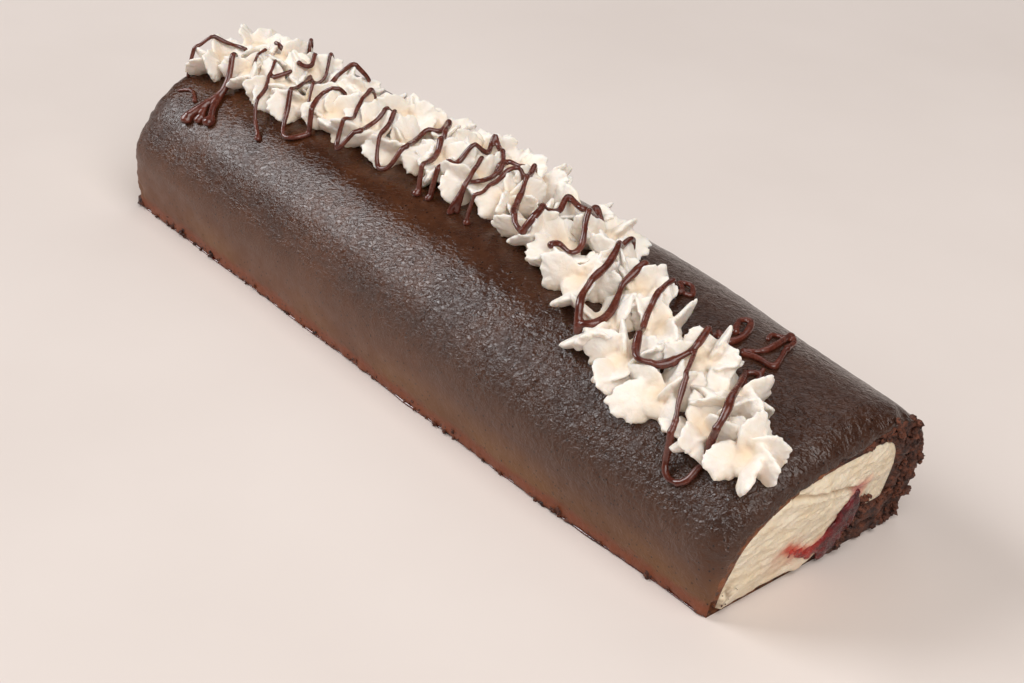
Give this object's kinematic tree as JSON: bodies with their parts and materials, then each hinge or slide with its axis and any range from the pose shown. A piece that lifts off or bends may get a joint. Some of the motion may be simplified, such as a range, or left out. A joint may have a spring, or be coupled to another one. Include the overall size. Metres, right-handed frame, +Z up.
{
  "type": "chocolate roulade",
  "caption": "Chocolate sponge roulade, trimmed at one end to show its cream and cherry filling, topped with a wandering band of piped cream stars and a thin chocolate drizzle.",
  "frame": {"origin": "centre of the box's footprint, on the surface that the roll rests on", "axes": "+X along the roll towards its cut end, +Y towards its back, +Z up; the front, where the skin shows widest, faces -Y"},
  "size_m": [0.3592, 0.115, 0.0775],
  "materials": {
    "chocolate_sponge": "moist dark chocolate sponge skin, semi-gloss, finely wrinkled",
    "filling_cream": "soft off-white cream, cut face, faint pores",
    "cherry_jam": "wet dark red fruit filling, glossy",
    "piped_cream": "whipped cream, soft satin, ruffled petals"
  },
  "bodies": {
    "root": {"chocolate_sponge": "chocolate_sponge", "cream_filling": "filling_cream", "cherry_filling": "cherry_jam", "piped_star_01": "piped_cream", "piped_star_02": "piped_cream", "piped_star_03": "piped_cream", "piped_star_04": "piped_cream", "piped_star_05": "piped_cream", "piped_star_06": "piped_cream", "piped_star_07": "piped_cream", "piped_star_08": "piped_cream", "piped_star_09": "piped_cream", "piped_star_10": "piped_cream", "piped_star_11": "piped_cream", "piped_star_12": "piped_cream", "piped_star_13": "piped_cream", "piped_star_14": "piped_cream", "piped_star_15": "piped_cream", "piped_star_16": "piped_cream", "piped_star_17": "piped_cream", "piped_star_18": "piped_cream", "piped_star_19": "piped_cream", "piped_star_20": "piped_cream", "piped_star_21": "piped_cream", "piped_star_22": "piped_cream", "piped_star_23": "piped_cream", "piped_star_24": "piped_cream", "piped_star_25": "piped_cream", "piped_star_26": "piped_cream", "piped_star_27": "piped_cream"}
  },
  "joints": []
}
